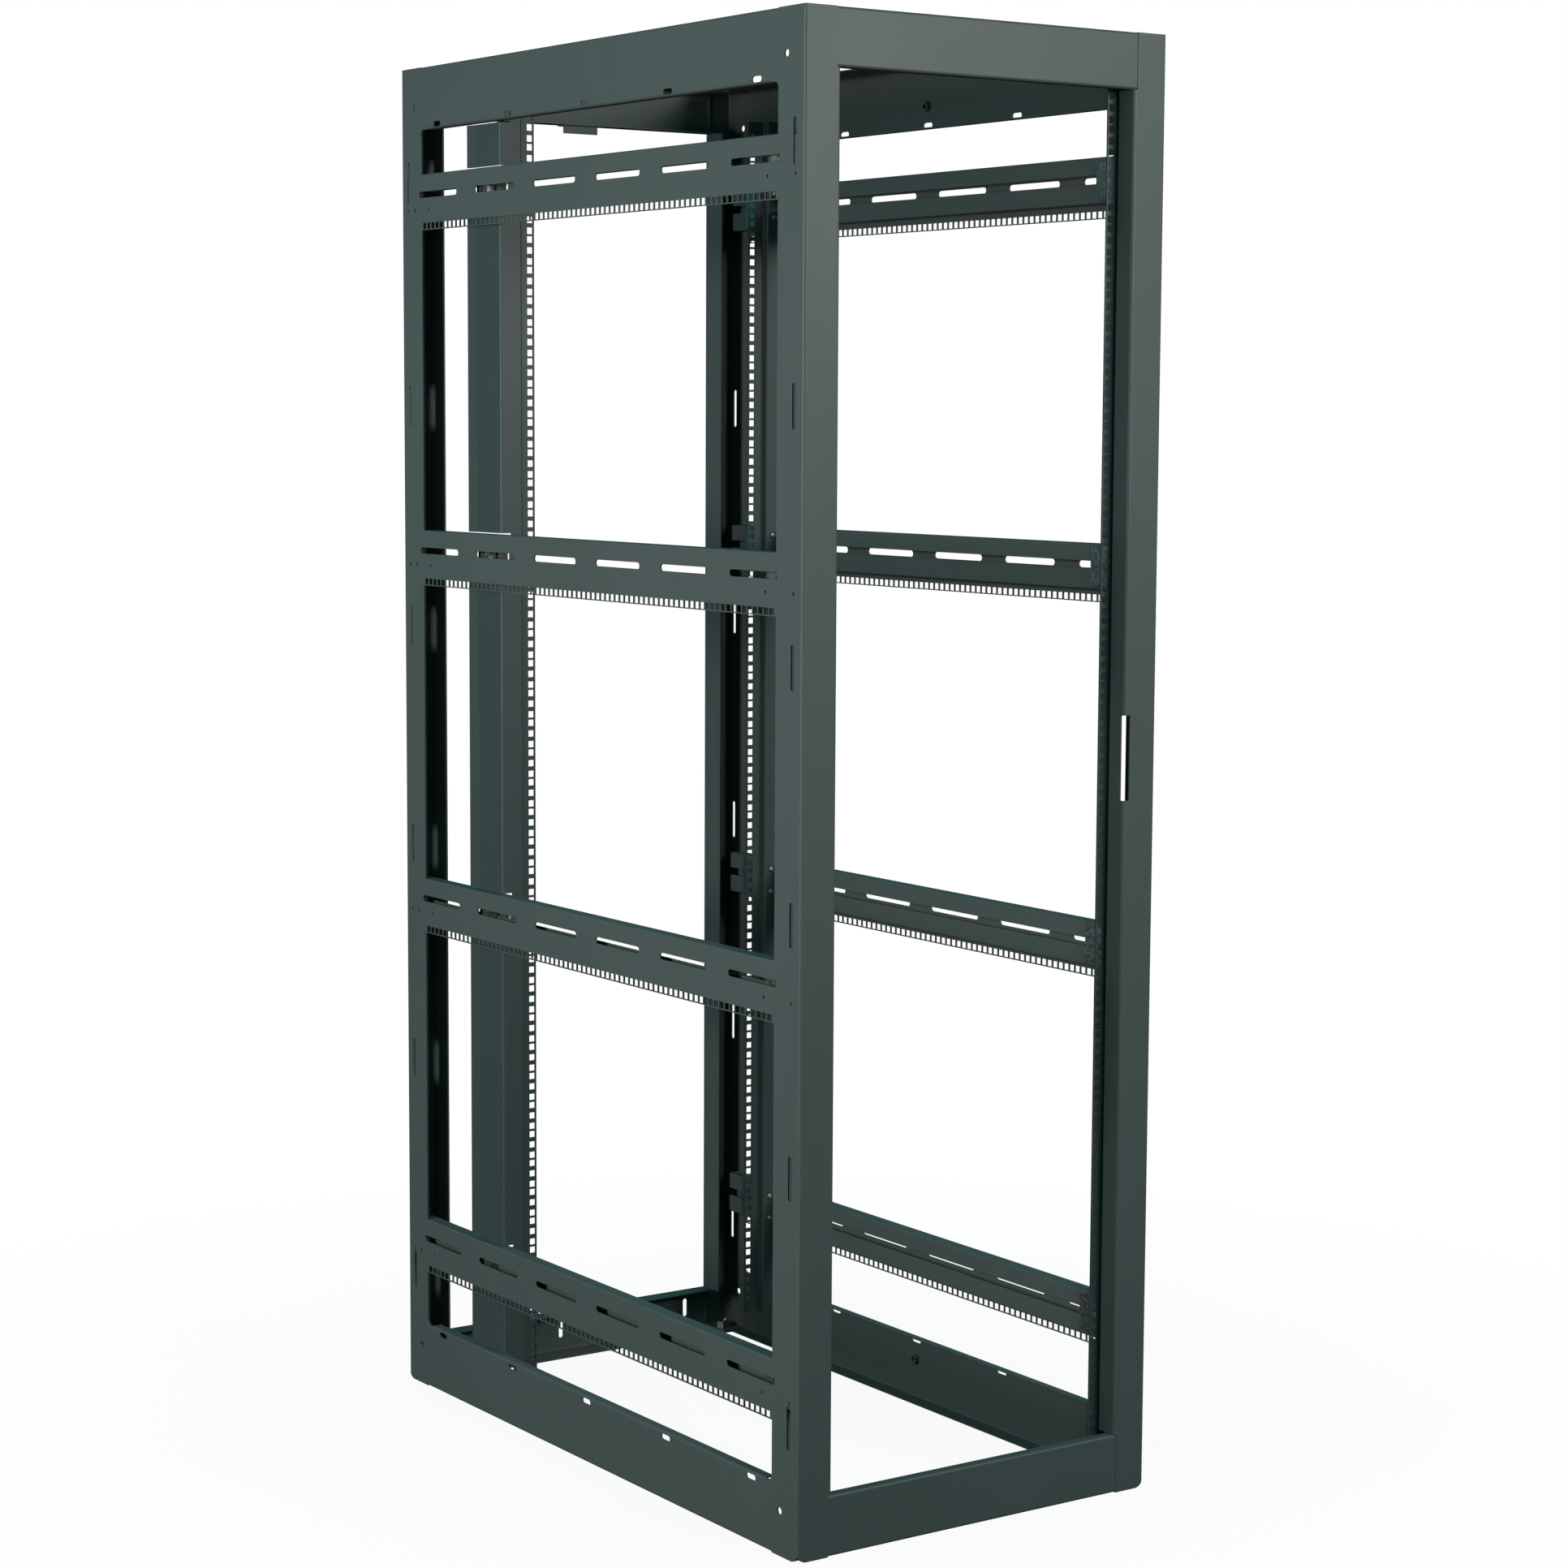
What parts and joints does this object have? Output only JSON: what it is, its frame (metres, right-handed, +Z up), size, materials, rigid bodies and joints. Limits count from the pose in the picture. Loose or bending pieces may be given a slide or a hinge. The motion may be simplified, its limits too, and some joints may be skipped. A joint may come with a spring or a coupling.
{
  "type": "server rack cabinet frame",
  "caption": "Tall open frame of a 19-inch server rack cabinet: folded corner posts, slotted side braces and depth-adjustable square-hole rack rails.",
  "frame": {"origin": "centre of the frame's footprint, on the floor", "axes": "+Z up; the front of the cabinet faces -Y; +X is to the right seen from the front"},
  "size_m": [0.5968, 1.0668, 2.0225],
  "materials": {
    "frame_coat": "fine-textured satin powder coat",
    "rail_coat": "smooth satin powder coat",
    "zinc_plated_steel": "bright zinc plating"
  },
  "bodies": {
    "frame": {"front_left_post": "frame_coat", "front_right_post": "frame_coat", "rear_left_post": "frame_coat", "rear_right_post": "frame_coat", "left_bottom_side_rail": "frame_coat", "left_top_side_rail": "frame_coat", "right_bottom_side_rail": "frame_coat", "right_top_side_rail": "frame_coat", "front_bottom_rail": "frame_coat", "front_top_rail": "frame_coat", "rear_bottom_rail": "frame_coat", "rear_top_rail": "frame_coat", "rear_latch_strike": "frame_coat", "left_brace_1": "frame_coat", "left_brace_2": "frame_coat", "left_brace_3": "frame_coat", "left_brace_4": "frame_coat", "left_brace_end_plates": "frame_coat", "right_brace_1": "frame_coat", "right_brace_2": "frame_coat", "right_brace_3": "frame_coat", "right_brace_4": "frame_coat", "right_brace_end_plates": "frame_coat", "side_rail_nuts": "frame_coat", "bottom_corner_plates": "frame_coat", "top_corner_plates": "frame_coat", "foot_weld_nuts": "zinc_plated_steel"},
    "front_left_rail_body": {"front_left_rail": "rail_coat", "front_left_rail_brackets": "zinc_plated_steel", "front_left_clamp_bolts": "zinc_plated_steel", "front_left_channel_nuts": "zinc_plated_steel", "front_left_bracket_screws": "zinc_plated_steel"},
    "front_right_rail_body": {"front_right_rail": "rail_coat", "front_right_rail_brackets": "zinc_plated_steel", "front_right_clamp_bolts": "zinc_plated_steel", "front_right_channel_nuts": "zinc_plated_steel", "front_right_bracket_screws": "zinc_plated_steel"},
    "rear_left_rail_body": {"rear_left_rail": "rail_coat", "rear_left_rail_brackets": "zinc_plated_steel", "rear_left_clamp_bolts": "zinc_plated_steel", "rear_left_channel_nuts": "zinc_plated_steel", "rear_left_bracket_screws": "zinc_plated_steel"},
    "rear_right_rail_body": {"rear_right_rail": "rail_coat", "rear_right_rail_brackets": "zinc_plated_steel", "rear_right_clamp_bolts": "zinc_plated_steel", "rear_right_channel_nuts": "zinc_plated_steel", "rear_right_bracket_screws": "zinc_plated_steel"}
  },
  "joints": [
    {"name": "front_left_rail_slide", "type": "slide", "parent": "frame", "child": "front_left_rail_body", "axis": [0, 1, 0], "range_m": [0, 0.35]},
    {"name": "front_right_rail_slide", "type": "slide", "parent": "frame", "child": "front_right_rail_body", "axis": [0, 1, 0], "range_m": [0, 0.35]},
    {"name": "rear_left_rail_slide", "type": "slide", "parent": "frame", "child": "rear_left_rail_body", "axis": [0, 1, 0], "range_m": [-0.3, 0.17]},
    {"name": "rear_right_rail_slide", "type": "slide", "parent": "frame", "child": "rear_right_rail_body", "axis": [0, 1, 0], "range_m": [-0.405, 0.065]}
  ]
}
